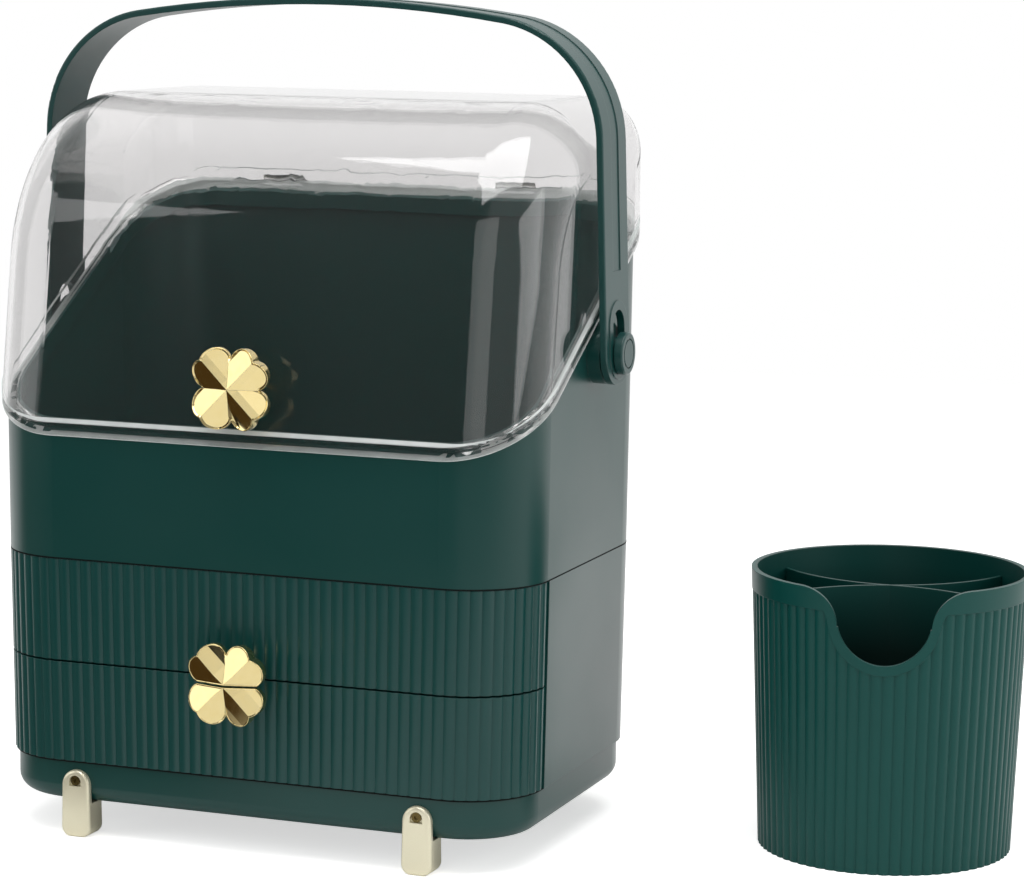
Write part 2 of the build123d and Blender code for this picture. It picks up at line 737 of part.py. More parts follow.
def side_prism(plan):
    """A plan in the side view, right across the case."""
    return Pos(0, pivot_y, 0) * extrude(Plane.YZ * plan, amount=BIG / 4, both=True)


def make_handle():
    """A bent strap with rounded ends, a slot at each pivot and a shallow groove over its length."""
    strap = arch(0, strap_width)
    strap = fillet(strap.faces().filter_by(Plane.XZ).edges().filter_by(lambda e: e.center().Z > pivot_height),
                   strap_edge_radius)
    groove = arch(-1, strap_groove_width) - arch(strap_groove_depth, strap_groove_width)
    groove -= box(-BIG, BIG, -BIG, BIG, -BIG, pivot_height + strap_groove_end)
    strap -= groove
    rim = arch(-slot_rim_height, strap_width) & side_prism(slot_plan(slot_rim_width))
    strap += rim
    strap -= arch(strap_thickness, 2 * strap_width)
    low = pivot_height - arm_end_below_pivot
    strap &= side_prism(Pos(0, low + BIG / 2) * RectangleRounded(strap_width, BIG, strap_end_radius))
    return strap - side_prism(slot_plan(0))


# ---------------------------------------------------------------- brush cup

cup_frame = Pos(cup_x, cup_y, 0) * Rot(0, 0, cup_turn)


def cup_radius(z):
    """The cup's outer radius at a height."""
    return cup_base_radius + (cup_rim_radius - cup_base_radius) * z / cup_height


def cup_cone(low, high, outset):
    """A solid between two heights, as wide as the cup and this much more."""
    base = Circle(cup_radius(low) + outset)
    slope = degrees(atan2(cup_rim_radius - cup_base_radius, cup_height))
    return extrude(Pos(0, 0, low) * base, amount=high - low, taper=-slope)


def fluted_wire(z):
    """The cup's outline at a height, with upright flutes all round."""
    ridge = cup_radius(z)
    valley = ridge - cup_flute_depth
    edges = []
    for i in range(cup_flutes):
        a0, a1, a2 = ((i + k) * 2 * pi / cup_flutes for k in (0, 0.5, 1))
        edges.append(ThreePointArc((valley * cos(a0), valley * sin(a0), z), (ridge * cos(a1), ridge * sin(a1), z),
                                   (valley * cos(a2), valley * sin(a2), z)))
    return Wire(edges)


def notch_prism(grow):
    """The notch in the front of the rim, grown all round, as a solid from the cup's axis forwards."""
    half = notch_radius + grow
    flare = notch_flare_radius - grow
    centre = cup_height - notch_depth + notch_radius
    shoulder = cup_height - notch_flare_radius
    arm = notch_radius + notch_flare_radius
    top = cup_height + 5
    plan = Pos(0, centre) * Circle(half) + Pos(0, (centre + top) / 2) * Rectangle(2 * half, top - centre)
    wings = Pos(0, (shoulder + top) / 2) * Rectangle(2 * arm, top - shoulder)
    for side in (-1, 1):
        wings -= Pos(side * arm, shoulder) * Circle(flare)
    plan += wings
    return extrude(Plane(origin=(0, 0, 0), x_dir=(1, 0, 0), z_dir=(0, -1, 0)) * plan, amount=2 * cup_rim_radius)


def make_cup():
    """A fluted cup with a smooth rim, and a notch at its front with a smooth border."""
    body = Solid.make_loft([fluted_wire(0), fluted_wire(cup_height)], ruled=True)
    smooth = cup_cone(0, cup_height, cup_band_outset)
    band = smooth & box(-BIG, BIG, -BIG, BIG, cup_height - cup_band_height, BIG)
    body += band
    body += smooth & notch_prism(notch_border)
    body -= cup_cone(cup_floor, cup_height + 1, -cup_wall)
    body -= notch_prism(0)
    return cup_frame * body


def blade(angle, bend):
    """One S-shaped wall of the divider, right across the cup."""
    reach = cup_rim_radius
    quarter = reach / 2
    low, high = cup_floor, cup_height - divider_below_rim
    faces = []
    for side in (-1, 1):
        line = ThreePointArc((0, 0), (side * quarter, side * bend), (side * reach, 0))
        faces.append(trace(line, divider_wall))
    plan = faces[0] + faces[1]
    return extrude(Pos(0, 0, low) * Rot(0, 0, angle) * plan, amount=high - low)


def make_divider():
    """Two S-shaped walls that cross in the middle of the cup and stand on its floor."""
    walls = blade(-divider_angle, divider_bulge) + blade(divider_angle, -divider_bulge)
    walls &= cup_cone(cup_floor, cup_height, -cup_wall - divider_gap)
    return cup_frame * walls


# ---------------------------------------------------------------- all the pieces

nodes = {}
nodes["base_plinth"] = make_plinth()
nodes["lower_cabinet"] = make_housing()
nodes["upper_bin"] = make_bin()
lower_tray = cavity_floor + tray_lift
upper_tray = runner_top + tray_lift
nodes["drawer_lower"] = make_drawer(plinth_top, drawer_split, lower_tray,
                                    runner_top - runner_thickness - tray_top_clearance, -1)
nodes["drawer_upper"] = make_drawer(drawer_split, seam_height, upper_tray, cavity_top - tray_top_clearance, 1)
nodes["drawer_knob_lower"] = make_half_knob(-1)
nodes["drawer_knob_upper"] = make_half_knob(1)
nodes["drawer_knob_screw_lower"] = make_half_knob_screw(-1)
nodes["drawer_knob_screw_upper"] = make_half_knob_screw(1)
for sx, side_name in ((-1, "left"), (1, "right")):
    for sy, end_name in ((-1, "front"), (1, "rear")):
        nodes[f"foot_{end_name}_{side_name}"] = make_foot(sx, sy)
    nodes[f"hinge_pin_{side_name}"] = make_hinge_pin(sx)
    nodes[f"pivot_bush_{side_name}"] = make_bush(sx)
    nodes[f"pivot_cap_{side_name}"] = make_pivot_cap(sx)
    nodes[f"pivot_screw_{side_name}"] = make_pivot_screw(sx)
nodes["foot_screws"] = make_foot_screws()
nodes["plinth_screws"] = make_case_screws(plinth_top - plinth_wall, plinth_wall + housing_plate - 0.2)
nodes["bin_screws"] = make_case_screws(cavity_top, bin_screw_length)
nodes["dome_cover"] = make_cover()
nodes["dome_knob"] = make_cover_knob()
nodes["dome_knob_screw"] = make_cover_knob_screw()
nodes["handle"] = make_handle()
nodes["brush_cup"] = make_cup()
nodes["cup_divider"] = make_divider()

os.makedirs("parts", exist_ok=True)
for name, shape in nodes.items():
    shape = Compound(children=shape) if isinstance(shape, list) else shape
    export_step(shape, f"parts/{name}.step")
    print(name, round(shape.volume))
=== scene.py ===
from math import cos, pi, radians, sin, sqrt, tan

import bmesh
import bpy
from mathutils import Matrix, Vector


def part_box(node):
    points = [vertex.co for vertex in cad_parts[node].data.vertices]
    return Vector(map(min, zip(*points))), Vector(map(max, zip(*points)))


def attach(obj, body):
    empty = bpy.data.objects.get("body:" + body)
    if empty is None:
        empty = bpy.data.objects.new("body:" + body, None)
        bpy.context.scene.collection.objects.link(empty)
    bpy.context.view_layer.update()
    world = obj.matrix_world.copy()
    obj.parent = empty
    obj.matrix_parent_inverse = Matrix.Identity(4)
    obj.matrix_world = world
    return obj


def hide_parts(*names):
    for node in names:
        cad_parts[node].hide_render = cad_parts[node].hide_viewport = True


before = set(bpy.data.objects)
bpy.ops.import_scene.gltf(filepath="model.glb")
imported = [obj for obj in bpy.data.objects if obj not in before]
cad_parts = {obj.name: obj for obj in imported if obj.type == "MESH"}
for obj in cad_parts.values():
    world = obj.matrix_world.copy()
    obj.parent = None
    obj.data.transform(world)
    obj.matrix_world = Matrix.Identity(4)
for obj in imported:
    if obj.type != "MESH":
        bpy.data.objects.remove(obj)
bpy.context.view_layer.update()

scene = bpy.context.scene
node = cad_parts


# ---- Camera
# A product photographer's long lens, a little above the drawers and turned 21 degrees to the right of the
# case's front. The photograph is 1024 by 877 pixels.

camera_yaw = radians(20.68)
camera_pitch = radians(8.18)
camera_roll = radians(0.63)
back = Vector((sin(camera_yaw) * cos(camera_pitch), -cos(camera_yaw) * cos(camera_pitch), sin(camera_pitch)))
level = Vector((cos(camera_yaw), sin(camera_yaw), 0))
right = level * cos(camera_roll) + back.cross(level) * sin(camera_roll)
turn = Matrix((right, back.cross(right), back)).transposed()
camera = bpy.data.objects.new("studio_camera", bpy.data.cameras.new("studio_camera"))
camera.data.lens = 118.04
camera.data.sensor_width = 36
camera.data.sensor_fit = "HORIZONTAL"
camera.matrix_world = Matrix.Translation((0.5754, -1.2953, 0.3673)) @ turn.to_4x4()
scene.collection.objects.link(camera)
scene.camera = camera
scene.view_settings.view_transform = "Standard"


# ---- Studio: sweep, walls and soft boxes
# A white paper sweep under and behind the case, a darker room behind the camera, and soft boxes overhead
# and at both sides. The paper is lit to white and keeps a faint shadow.

def srgb(code):
    """A hex colour as the linear numbers that a shader takes."""
    channels = [int(code[i:i + 2], 16) / 255 for i in (0, 2, 4)]
    return (*(c / 12.92 if c <= 0.04045 else ((c + 0.055) / 1.055) ** 2.4 for c in channels), 1)


def add(tree, kind, inputs, **settings):
    """One more shader node. Each input takes a value, or the socket that feeds it."""
    made = tree.nodes.new("ShaderNode" + kind)
    for name, value in settings.items():
        setattr(made, name, value)
    for name, value in inputs.items():
        if isinstance(value, bpy.types.NodeSocket):
            tree.links.new(value, made.inputs[name])
        else:
            made.inputs[name].default_value = value
    return made


world = bpy.data.worlds.new("studio_room")
world.use_nodes = True
scene.world = world
room = world.node_tree
room.nodes.clear()
way = add(room, "TexCoord", {})
side = add(room, "SeparateXYZ", {0: way.outputs["Generated"]})
towards_back = add(room, "MapRange", {"Value": side.outputs["Y"], 1: -0.45, 2: 0.3, 3: 0.012, 4: 1.02},
                   interpolation_type="SMOOTHSTEP")
right_of_camera = add(room, "MapRange", {"Value": side.outputs["X"], 1: 0.04, 2: 0.13, 3: 0.012, 4: 0.3})
front_dark = add(room, "Math", {0: towards_back.outputs[0], 1: right_of_camera.outputs[0]},
                 operation="MAXIMUM")
ray = add(room, "LightPath", {})
bounced = add(room, "Math", {0: ray.outputs["Glossy Depth"], 1: ray.outputs["Diffuse Depth"]}, use_clamp=True)
through = add(room, "Math", {0: ray.outputs["Is Transmission Ray"], 1: bounced.outputs[0]},
              operation="SUBTRACT", use_clamp=True)
seen = add(room, "Math", {0: ray.outputs["Is Camera Ray"], 1: through.outputs[0]}, operation="MAXIMUM")
behind = add(room, "Math", {0: ray.outputs["Is Transmission Ray"], 1: ray.outputs["Glossy Depth"]},
             operation="MULTIPLY", use_clamp=True)
mirrored = add(room, "Math", {0: ray.outputs["Is Glossy Ray"], 1: behind.outputs[0]}, operation="MAXIMUM")
lit = add(room, "Mix", {0: mirrored.outputs[0], 2: 0.42, 3: front_dark.outputs[0]})
strength = add(room, "Math", {0: seen.outputs[0], 1: lit.outputs[0]}, operation="MAXIMUM")
white_room = add(room, "Background", {"Color": srgb("ffffff"), "Strength": strength.outputs[0]})
add(room, "OutputWorld", {"Surface": white_room.outputs[0]})

paper = bpy.data.materials.new("white_sweep_paper")
paper.use_nodes = True
tree = paper.node_tree
tree.nodes.clear()
fibre = add(tree, "TexNoise", {"Scale": 900.0, "Detail": 2.0})
tone = add(tree, "Mix", {0: fibre.outputs[0], 6: srgb("f4f4f3"), 7: srgb("efefee")}, data_type="RGBA")
matt = add(tree, "BsdfDiffuse", {"Color": tone.outputs[2]})
ray = add(tree, "LightPath", {})
seen = add(tree, "Math", {0: ray.outputs["Is Camera Ray"], 1: ray.outputs["Is Transmission Ray"]},
           operation="MAXIMUM")
place = add(tree, "TexCoord", {}).outputs["Object"]
spot = add(tree, "SeparateXYZ", {0: place})
behind = add(tree, "MapRange", {"Value": spot.outputs["Y"], 1: -0.05, 2: 0.15, 3: 0.0, 4: 0.6})
mirrored = add(tree, "Math", {0: ray.outputs["Is Glossy Ray"], 1: behind.outputs[0]}, operation="MULTIPLY")
lift = add(tree, "Math", {0: seen.outputs[0], 1: 0.6}, operation="MULTIPLY")
lift = add(tree, "Math", {0: lift.outputs[0], 1: mirrored.outputs[0]}, operation="MAXIMUM")
glow = add(tree, "Emission", {"Color": srgb("ffffff"), "Strength": lift.outputs[0]})
lit_paper = add(tree, "AddShader", {0: matt.outputs[0], 1: glow.outputs[0]})
# Far from the case the paper has the white of the room, so that no horizon shows through the cover.
away = add(tree, "VectorMath", {0: place}, operation="LENGTH")
fade = add(tree, "MapRange", {"Value": away.outputs["Value"], 1: 0.6, 2: 1.6})
white = add(tree, "Emission", {"Color": srgb("ffffff"), "Strength": 1.0})
blended = add(tree, "MixShader", {0: fade.outputs[0], 1: lit_paper.outputs[0], 2: white.outputs[0]})
# The left front of the table is in the dark, as the knobs' facets show.
line = add(tree, "Math", {0: spot.outputs["Y"], 1: -0.16, 2: spot.outputs["X"]}, operation="MULTIPLY_ADD")
left = add(tree, "MapRange", {"Value": line.outputs[0], 1: -0.06, 2: 0.0, 3: 1.0, 4: 0.0})
front = add(tree, "MapRange", {"Value": spot.outputs["Y"], 1: -0.09, 2: -0.03, 3: 1.0, 4: 0.0})
corner = add(tree, "Math", {0: left.outputs[0], 1: front.outputs[0]}, operation="MULTIPLY")
reach = add(tree, "MapRange", {"Value": ray.outputs["Ray Length"], 1: 0.05, 2: 0.10})
corner = add(tree, "Math", {0: corner.outputs[0], 1: reach.outputs[0]}, operation="MULTIPLY")
corner = add(tree, "Math", {0: corner.outputs[0], 1: ray.outputs["Is Glossy Ray"]}, operation="MULTIPLY")
shade = add(tree, "Emission", {"Color": srgb("8c7048"), "Strength": 0.24})
table = add(tree, "MixShader", {0: corner.outputs[0], 1: blended.outputs[0], 2: shade.outputs[0]})
add(tree, "OutputMaterial", {"Surface": table.outputs[0]})

sheet = bmesh.new()
bmesh.ops.create_grid(sheet, x_segments=1, y_segments=1, size=3.0)
bmesh.ops.translate(sheet, verts=sheet.verts, vec=(0, 2.5, 0))
sweep = bpy.data.objects.new("paper_sweep", bpy.data.meshes.new("paper_sweep"))
sheet.to_mesh(sweep.data)
sheet.free()
sweep.data.materials.append(paper)
scene.collection.objects.link(sweep)

soft_boxes = [
    # place, what it points at, width, height, watts
    ((0.25, -0.30, 1.90), (0.05, 0.00, 0.10), 1.6, 1.2, 22),
    ((1.90, -0.10, 0.80), (0.10, 0.00, 0.15), 1.2, 1.2, 9),
    ((-1.70, -1.20, 0.90), (0.00, 0.00, 0.15), 1.5, 1.8, 13),
    ((0.31, -1.24, 0.72), (0.00, -0.09, 0.15), 0.80, 1.10, 2.4),
]
for number, (place, goal, width, height, watts) in enumerate(soft_boxes):
    lamp = bpy.data.lights.new("soft_box_%d" % number, "AREA")
    lamp.shape = "RECTANGLE"
    lamp.size = width
    lamp.size_y = height
    lamp.energy = watts
    box = bpy.data.objects.new(lamp.name, lamp)
    box.location = place
    box.rotation_euler = (Vector(goal) - Vector(place)).to_track_quat("-Z", "Y").to_euler()
    scene.collection.objects.link(box)


# ---- Plinth, drawer housing and bin
# Injection-moulded ABS in dark bottle green. The tool is finely spark-eroded, which gives an even satin
# face; edges are rubbed a little smoother in use.

def moulded_plastic(name, colour, sheen, shade=0.06, grain_mm=0.35, grain=0.02, edge_mm=0.5, gloss=0.5):
    """A coloured plastic with a fine eroded grain, slight flow shades and softened edges."""
    made = bpy.data.materials.new(name)
    made.use_nodes = True
    tree = made.node_tree
    tree.nodes.clear()
    place = add(tree, "TexCoord", {}).outputs["Object"]
    flow = add(tree, "TexNoise", {"Vector": place, "Scale": 14.0, "Detail": 3.0, "Roughness": 0.5})
    dark = tuple(c * (1 - shade) for c in srgb(colour)[:3]) + (1,)
    pale = tuple(c * (1 + shade) for c in srgb(colour)[:3]) + (1,)
    tint = add(tree, "Mix", {0: flow.outputs[0], 6: dark, 7: pale}, data_type="RGBA")
    pits = add(tree, "TexNoise", {"Vector": place, "Scale": 1000 / grain_mm, "Detail": 2.0})
    worn = add(tree, "MapRange", {"Value": flow.outputs[0], 1: 0.3, 2: 0.7, 3: sheen - 0.03, 4: sheen + 0.04})
    rounded = add(tree, "Bevel", {"Radius": edge_mm / 1000}, samples=4)
    bump = add(tree, "Bump", {"Height": pits.outputs[0], "Strength": grain, "Distance": 0.0001,
                              "Normal": rounded.outputs[0]})
    skin = add(tree, "BsdfPrincipled", {"Base Color": tint.outputs[2], "Roughness": worn.outputs[0],
                                        "Normal": bump.outputs[0]})
    skin.inputs["IOR"].default_value = 1.5
    skin.inputs["Specular IOR Level"].default_value = gloss
    add(tree, "OutputMaterial", {"Surface": skin.outputs[0]})
    return made


case_green = moulded_plastic("bottle_green_abs", "073b37", 0.31, gloss=0.42)
for name in ("base_plinth", "lower_cabinet", "upper_bin"):
    node[name].material_slots[0].material = case_green


# ---- Joint shade strips
# Where the bin stands on the drawer housing, and the housing on the plinth, a thin black strip stands in
# for the shadow in the joint: it is painted shade. Only its edge shows, as a fine dark line all round.

joint_shade_black = moulded_plastic("black_painted_joint_shade", "060d0c", 0.85, gloss=0.2, edge_mm=0.05)


def outline_band(name, width, depth, radius, low, high):
    """A closed strip round the case, between two heights."""
    ring = bmesh.new()
    bmesh.ops.create_grid(ring, x_segments=1, y_segments=1, size=0.5)
    bmesh.ops.scale(ring, vec=(width, depth, 1), verts=ring.verts)
    bmesh.ops.bevel(ring, geom=ring.verts[:], offset=radius, segments=24, profile=0.5, affect="VERTICES",
                    material=-1)
    plate = bmesh.ops.inset_region(ring, faces=ring.faces[:], thickness=0.002, depth=0, use_even_offset=True,
                                   use_boundary=True)["faces"]
    middle = [f for f in ring.faces if f not in plate]
    bmesh.ops.delete(ring, geom=middle, context="FACES_ONLY")
    grown = bmesh.ops.extrude_face_region(ring, geom=ring.faces[:])["geom"]
    bmesh.ops.translate(ring, vec=(0, 0, high - low), verts=[v for v in grown if isinstance(v, bmesh.types.BMVert)])
    bmesh.ops.translate(ring, vec=(0, 0, low), verts=ring.verts)
    bmesh.ops.recalc_face_normals(ring, faces=ring.faces)
    band = bpy.data.objects.new(name, bpy.data.meshes.new(name))
    ring.to_mesh(band.data)
    ring.free()
    band.data.materials.append(joint_shade_black)
    scene.collection.objects.link(band)
    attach(band, "case")


outline_band("bin_joint_shade_strip", 0.24016, 0.16016, 0.03408, 0.11805, 0.11860)
outline_band("plinth_joint_shade_strip", 0.2362, 0.1562, 0.0321, 0.03165, 0.03225)


# ---- Drawers
# The same ABS as the case, one moulding for tray and front. The front is fluted with narrow reeds that
# run on round the corners.

drawer_green = moulded_plastic("bottle_green_abs_reeded", "073d3a", 0.3, edge_mm=0.35, gloss=0.42)
for name in ("drawer_upper", "drawer_lower"):
    node[name].material_slots[0].material = drawer_green


# ---- Knobs
# Zinc castings, faceted and plated in pale gold, polished but not quite mirror-bright.

gold = bpy.data.materials.new("pale_gold_plate")
gold.use_nodes = True
tree = gold.node_tree
tree.nodes.clear()
place = add(tree, "TexCoord", {}).outputs["Object"]
haze = add(tree, "TexNoise", {"Vector": place, "Scale": 300.0, "Detail": 3.0})
tint = add(tree, "Mix", {0: haze.outputs[0], 6: srgb("e6d193"), 7: srgb("efdda6")}, data_type="RGBA")
polish = add(tree, "MapRange", {"Value": haze.outputs[0], 1: 0.3, 2: 0.7, 3: 0.10, 4: 0.17})
rounded = add(tree, "Bevel", {"Radius": 0.0003}, samples=4)
plate = add(tree, "BsdfPrincipled", {"Base Color": tint.outputs[2], "Metallic": 1.0,
                                     "Roughness": polish.outputs[0], "Normal": rounded.outputs[0]})
add(tree, "OutputMaterial", {"Surface": plate.outputs[0]})

ridge_height = 0.0032
for name, body, crease, steeper, rim_width, lip in (
        ("dome_knob", "cover", 0.0031, 0.21, 0.0009, 0.0008),
        ("drawer_knob_upper", "upper_drawer", 0.0060, 0.0, 0.0006, 0.0003),
        ("drawer_knob_lower", "lower_drawer", 0.0060, 0.0, 0.0006, 0.0003)):
    whole = name == "dome_knob"
    low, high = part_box(name)
    apex = low[1]
    middle = (low[2] + high[2]) / 2 if whole else 0.0748
    clover = bmesh.new()
    clover.from_mesh(node[name].data)
    bmesh.ops.remove_doubles(clover, verts=clover.verts, dist=2e-6)
    bmesh.ops.dissolve_limit(clover, angle_limit=0.02, verts=clover.verts, edges=clover.edges)
    for sign in (-1, 1):
        for lean in (-1, 1):
            bmesh.ops.bisect_plane(clover, geom=clover.verts[:] + clover.edges[:] + clover.faces[:],
                                   plane_co=(sign * crease * sqrt(2), 0, middle), plane_no=(1, 0, lean), dist=1e-6)
    for v in clover.verts:
        off = abs(abs(v.co.x) - abs(v.co.z - middle)) / sqrt(2)
        if v.co.y < apex + ridge_height + 1e-4:
            v.co.y += steeper * max(0, off - crease)
    facing = [f for f in clover.faces if f.normal.y < -0.6 and f.calc_center_median().y < apex + 0.0055]
    bmesh.ops.inset_region(clover, faces=facing, thickness=rim_width, depth=0, use_even_offset=True,
                           use_boundary=True)
    rim = {v for f in facing for v in f.verts}
    border = {v for f in clover.faces if f not in facing and f.normal.y < -0.6 for v in f.verts} - rim
    for v in border:
        v.co.y -= lip
    bmesh.ops.recalc_face_normals(clover, faces=clover.faces)
    edge = [e for e in clover.edges if len(e.link_faces) == 2 and set(e.verts) <= border
            and e.calc_face_angle() > 0.7]
    bmesh.ops.bevel(clover, geom=edge, offset=0.00035, segments=3, profile=0.5, affect="EDGES", material=-1)
    knob = bpy.data.objects.new("clover_" + name, bpy.data.meshes.new("clover_" + name))
    clover.to_mesh(knob.data)
    clover.free()
    knob.data.materials.append(gold)
    scene.collection.objects.link(knob)
    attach(knob, body)
    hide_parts(name)


# ---- Feet
# Die-cast zinc, painted champagne with a satin metallic lacquer.

champagne = bpy.data.materials.new("champagne_lacquer")
champagne.use_nodes = True
tree = champagne.node_tree
tree.nodes.clear()
place = add(tree, "TexCoord", {}).outputs["Object"]
flake = add(tree, "TexNoise", {"Vector": place, "Scale": 2500.0, "Detail": 1.0})
tint = add(tree, "Mix", {0: flake.outputs[0], 6: srgb("e6dfc2"), 7: srgb("efe9d0")}, data_type="RGBA")
rounded = add(tree, "Bevel", {"Radius": 0.0005}, samples=4)
lacquer = add(tree, "BsdfPrincipled", {"Base Color": tint.outputs[2], "Metallic": 0.6, "Roughness": 0.3,
                                       "Normal": rounded.outputs[0]})
add(tree, "OutputMaterial", {"Surface": lacquer.outputs[0]})

foot_width = 0.0132
foot_low, foot_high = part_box("foot_front_right")
foot_height = foot_high[2] - foot_low[2]
tab_thickness = 0.0026
peg_height = 0.0145


def tombstone(width, height, top_round, foot_round, centre):
    """An upright face with a rounded top and rounded lower corners, looking to the front."""
    made = bmesh.new()
    bmesh.ops.create_grid(made, x_segments=1, y_segments=1, size=0.5)
    bmesh.ops.scale(made, vec=(width, height, 1), verts=made.verts)
    for radius, upper in ((top_round, True), (foot_round, False)):
        corners = [v for v in made.verts if (v.co.y > 0) == upper and abs(v.co.x) > width * 0.49
                   and abs(v.co.y) > height * 0.49]
        if radius:
            bmesh.ops.bevel(made, geom=corners, offset=radius, segments=12, profile=0.5, affect="VERTICES",
                            material=-1)
    bmesh.ops.rotate(made, matrix=Matrix.Rotation(pi / 2, 3, "X"), verts=made.verts)
    bmesh.ops.translate(made, verts=made.verts, vec=centre)
    return made


def pull_back(mesh, faces, depth):
    """Extrude faces towards the back of the case, away from the viewer."""
    grown = bmesh.ops.extrude_face_region(mesh, geom=faces)["geom"]
    bmesh.ops.translate(mesh, vec=(0, depth, 0), verts=[v for v in grown if isinstance(v, bmesh.types.BMVert)])
    return [f for f in grown if isinstance(f, bmesh.types.BMFace)]


foot_x = (foot_low[0] + foot_high[0]) / 2
casting = tombstone(foot_width, foot_height, foot_width * 0.49, 0.0042, (foot_x, foot_low[1], foot_height / 2))
casting.faces.ensure_lookup_table()
back_faces = pull_back(casting, casting.faces[:], tab_thickness)
bmesh.ops.bisect_plane(casting, geom=casting.verts[:] + casting.edges[:] + casting.faces[:],
                       plane_co=(0, 0, peg_height), plane_no=(0, 0, 1))
lower = [f for f in casting.faces if f.calc_center_median().y > foot_low[1] + tab_thickness - 1e-5
         and f.calc_center_median().z < peg_height]
pull_back(casting, lower, foot_high[1] - foot_low[1] - tab_thickness)
bmesh.ops.recalc_face_normals(casting, faces=casting.faces)
outline = [e for e in casting.edges if all(abs(v.co.y - foot_low[1]) < 1e-5 for v in e.verts)
           and len(e.link_faces) == 2 and e.calc_face_angle() > 1]
bmesh.ops.bevel(casting, geom=outline, offset=0.0013, segments=4, profile=0.5, affect="EDGES", material=-1)
rear = [e for e in casting.edges if all(abs(v.co.y - foot_high[1]) < 1e-5 for v in e.verts)
        and len(e.link_faces) == 2 and e.calc_face_angle() > 1]
bmesh.ops.bevel(casting, geom=rear, offset=0.0022, segments=4, profile=0.5, affect="EDGES", material=-1)
for v in casting.verts:
    v.co.x = foot_x + (v.co.x - foot_x) * (1.03 - 3.4 * v.co.z)
hollow = tombstone(0.0054, 0.0046, 0.00265, 0.0, (foot_x, foot_low[1] - 0.0005, foot_high[2] - 0.0045))
hollow.faces.ensure_lookup_table()
pull_back(hollow, hollow.faces[:], 0.0020)
bmesh.ops.recalc_face_normals(hollow, faces=hollow.faces)

solid = {}
for name, mesh in (("foot_blank", casting), ("foot_recess", hollow)):
    solid[name] = bpy.data.objects.new(name, bpy.data.meshes.new(name))
    mesh.to_mesh(solid[name].data)
    mesh.free()
    scene.collection.objects.link(solid[name])
sunk = solid["foot_blank"].modifiers.new("recess", "BOOLEAN")
sunk.object = solid["foot_recess"]
sunk.operation = "DIFFERENCE"
sunk.solver = "EXACT"
bpy.context.view_layer.update()
cast = bpy.data.meshes.new_from_object(solid["foot_blank"].evaluated_get(bpy.context.evaluated_depsgraph_get()))
for blank in solid.values():
    bpy.data.objects.remove(blank)
for side_name, sx in (("left", -1), ("right", 1)):
    for end_name, sy in (("front", 1), ("rear", -1)):
        one = bmesh.new()
        one.from_mesh(cast)
        bmesh.ops.scale(one, vec=(sx, sy, 1), verts=one.verts)
        bmesh.ops.recalc_face_normals(one, faces=one.faces)
        for f in one.faces:
            f.smooth = True
        for e in one.edges:
            e.smooth = len(e.link_faces) == 2 and e.calc_face_angle() < 0.6
        foot = bpy.data.objects.new("foot_casting_%s_%s" % (end_name, side_name), bpy.data.meshes.new("foot_casting"))
        one.to_mesh(foot.data)
        one.free()
        foot.data.materials.append(champagne)
        scene.collection.objects.link(foot)
        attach(foot, "case")
        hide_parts("foot_%s_%s" % (end_name, side_name))


# ---- Screws and hinge pins
# Bright zinc-plated steel, turned heads with a slight brushing.

steel = bpy.data.materials.new("zinc_plated_steel")
steel.use_nodes = True
tree = steel.node_tree
tree.nodes.clear()
place = add(tree, "TexCoord", {}).outputs["Object"]
turned = add(tree, "TexNoise", {"Vector": place, "Scale": 1800.0, "Detail": 2.0})
rough = add(tree, "MapRange", {"Value": turned.outputs[0], 1: 0.3, 2: 0.7, 3: 0.22, 4: 0.38})
metal = add(tree, "BsdfPrincipled", {"Base Color": srgb("b9b9b4"), "Metallic": 1.0,
                                     "Roughness": rough.outputs[0]})
add(tree, "OutputMaterial", {"Surface": metal.outputs[0]})
for name in ("plinth_screws", "bin_screws", "dome_knob_screw", "drawer_knob_screw_upper",
             "drawer_knob_screw_lower", "pivot_screw_left", "pivot_screw_right", "hinge_pin_left",
             "hinge_pin_right"):
    node[name].material_slots[0].material = steel


bronzed = steel.copy()
bronzed.name = "bronzed_steel"
for made in bronzed.node_tree.nodes:
    if made.type == "BSDF_PRINCIPLED":
        made.inputs["Base Color"].default_value = srgb("6a5c38")
node["foot_screws"].material_slots[0].material = bronzed


# ---- Cover
# One clear moulding in polystyrene, 2.2 mm thick. It is glossy and faintly grey, and its foot flange shows
# as two bright lines, which are a painted highlight: the flange's edge faces are made pale and less clear.

clear = bpy.data.materials.new("clear_polystyrene")
clear.use_nodes = True
tree = clear.node_tree
tree.nodes.clear()
place = add(tree, "TexCoord", {}).outputs["Object"]
flow = add(tree, "TexNoise", {"Vector": place, "Scale": 30.0, "Detail": 2.0})
rough = add(tree, "MapRange", {"Value": flow.outputs[0], 1: 0.3, 2: 0.7, 3: 0.015, 4: 0.03})
body = add(tree, "BsdfPrincipled", {"Base Color": srgb("efeeee"), "Roughness": rough.outputs[0],
                                    "IOR": 1.5, "Transmission Weight": 0.991})
body.inputs["IOR"].default_value = 1.5
open_air = add(tree, "BsdfTransparent", {"Color": srgb("d8dbd9")})
ray = add(tree, "LightPath", {})
wall = add(tree, "MixShader", {0: ray.outputs["Is Shadow Ray"], 1: body.outputs[0], 2: open_air.outputs[0]})
add(tree, "OutputMaterial", {"Surface": wall.outputs[0]})
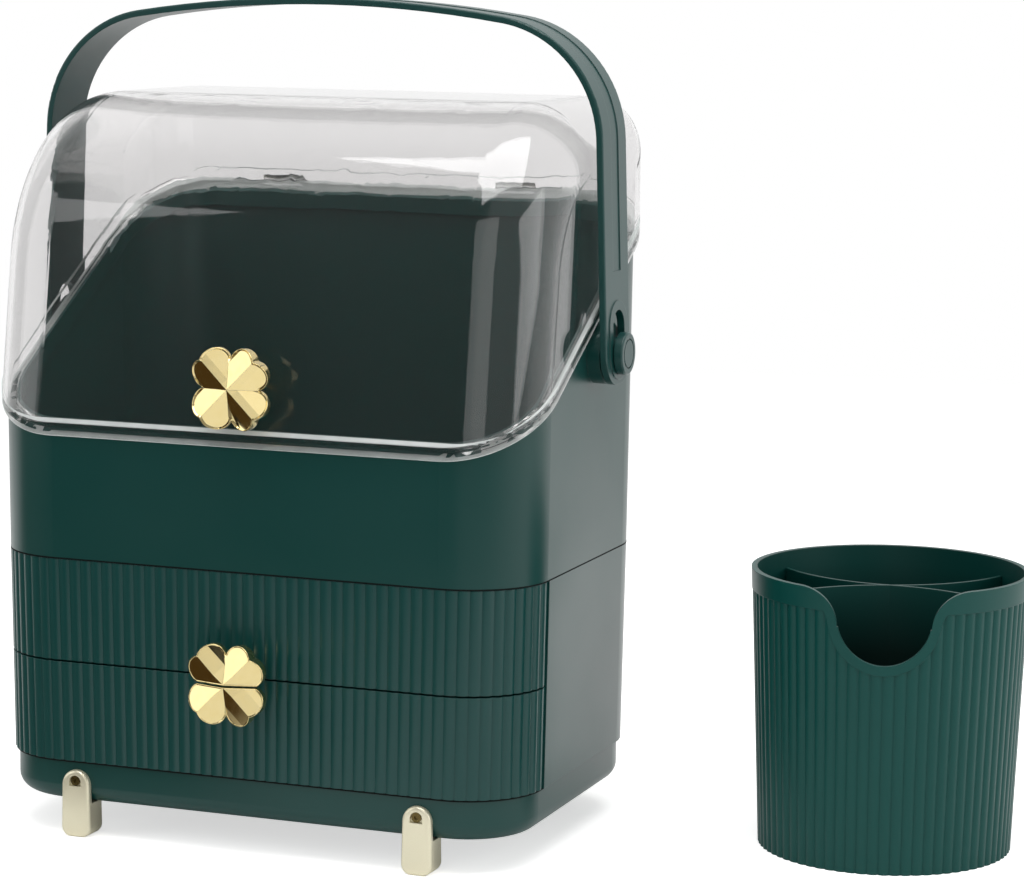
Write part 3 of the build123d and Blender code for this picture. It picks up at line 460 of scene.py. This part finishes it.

# Painted highlight: the faces at the flange's lower edge and at its top step are pale and less clear, which draws the
# two bright lines.
edge = bpy.data.materials.new("flange_edge_painted_highlight")
edge.use_nodes = True
tree = edge.node_tree
tree.nodes.clear()
place = add(tree, "TexCoord", {}).outputs["Object"]
ripple = add(tree, "TexNoise", {"Vector": place, "Scale": 120.0, "Detail": 2.0})
tint = add(tree, "Mix", {0: ripple.outputs[0], 6: srgb("c4cbc9"), 7: srgb("eef1f0")}, data_type="RGBA")
lip = add(tree, "BsdfPrincipled", {"Base Color": tint.outputs[2], "Roughness": 0.12, "Transmission Weight": 0.35})
lip.inputs["IOR"].default_value = 1.5
ray = add(tree, "LightPath", {})
edge_air = add(tree, "BsdfTransparent", {"Color": srgb("d8dbd9")})
wall = add(tree, "MixShader", {0: ray.outputs["Is Shadow Ray"], 1: lip.outputs[0], 2: edge_air.outputs[0]})
add(tree, "OutputMaterial", {"Surface": wall.outputs[0]})

cover = bpy.data.objects.new("clear_cover", node["dome_cover"].data.copy())
cover.data.name = "clear_cover"
cover.data.materials.clear()
cover.data.materials.append(clear)
cover.data.materials.append(edge)
rim_slope = radians(30.1)
rim_front = Vector((0, -0.080, 0.171))
rim_up = Vector((0, -sin(rim_slope), cos(rim_slope)))
flange_height = 0.0057
edge_round = 0.0007
# Faces at the flange's lower edge and at its top step take the painted highlight.
for face in cover.data.polygons:
    level = (face.center - rim_front).dot(rim_up)
    painted_highlight_face = level < edge_round or flange_height - edge_round < level < flange_height + 0.00002
    face.material_index = int(painted_highlight_face and level > -0.0001)
scene.collection.objects.link(cover)
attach(cover, "cover")
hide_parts("dome_cover")


# ---- Handle and its pivots
# The handle is a bent strap of the same green, more matt, with a shallow groove along its outer face. It
# hangs on two capped pivots.

handle_green = moulded_plastic("bottle_green_pp", "0c3d3a", 0.36)
for name in ("handle", "pivot_cap_left", "pivot_cap_right"):
    node[name].material_slots[0].material = handle_green
natural = moulded_plastic("natural_acetal", "d8d6cc", 0.4)
for name in ("pivot_bush_left", "pivot_bush_right"):
    node[name].material_slots[0].material = natural


# ---- Brush cup
# A fluted cup of soft-touch green polypropylene with a smooth rim, and its S-shaped divider.

cup_green_with_painted_shade = moulded_plastic("bottle_green_pp_fluted_painted_shade", "054540", 0.42, gloss=0.27)
for name in ("brush_cup", "cup_divider"):
    node[name].material_slots[0].material = cup_green_with_painted_shade

# Inside the cup, and on the divider, the colour darkens towards the bottom: painted shade, so that the cup looks
# deep.
cup_low, cup_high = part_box("brush_cup")
cup_axis = Vector(((cup_low[0] + cup_high[0]) / 2, (cup_low[1] + cup_high[1]) / 2, 0))
rim_radius = (cup_high[0] - cup_low[0]) / 2
base_radius = 0.0528
wall_middle = 0.0013
shade_top = cup_high[2] - 0.0075
shade_bottom = cup_high[2] - 0.036
tree = cup_green_with_painted_shade.node_tree
skin = tree.nodes["Principled BSDF"]
outer = skin.inputs["Base Color"].links[0].from_socket
place = add(tree, "TexCoord", {}).outputs["Object"]
height = add(tree, "SeparateXYZ", {0: place}).outputs["Z"]
flat = add(tree, "VectorMath", {0: place, 1: (1, 1, 0)}, operation="MULTIPLY")
reach = add(tree, "VectorMath", {0: flat.outputs[0], 1: tuple(cup_axis)}, operation="DISTANCE")
wall = add(tree, "MapRange", {"Value": height, 1: 0.0, 2: cup_high[2], 3: base_radius - wall_middle,
                              4: rim_radius - wall_middle})
within = add(tree, "Math", {0: reach.outputs["Value"], 1: wall.outputs[0]}, operation="LESS_THAN")
shade_depth = add(tree, "MapRange", {"Value": height, 1: shade_bottom, 2: shade_top, 3: 1.0, 4: 0.35})
painted_shade_mask = add(tree, "Math", {0: within.outputs[0], 1: shade_depth.outputs[0]}, operation="MULTIPLY")
shaded_colour = add(tree, "Mix", {0: painted_shade_mask.outputs[0], 6: outer, 7: srgb("011d19")}, data_type="RGBA")
tree.links.new(shaded_colour.outputs[2], skin.inputs["Base Color"])
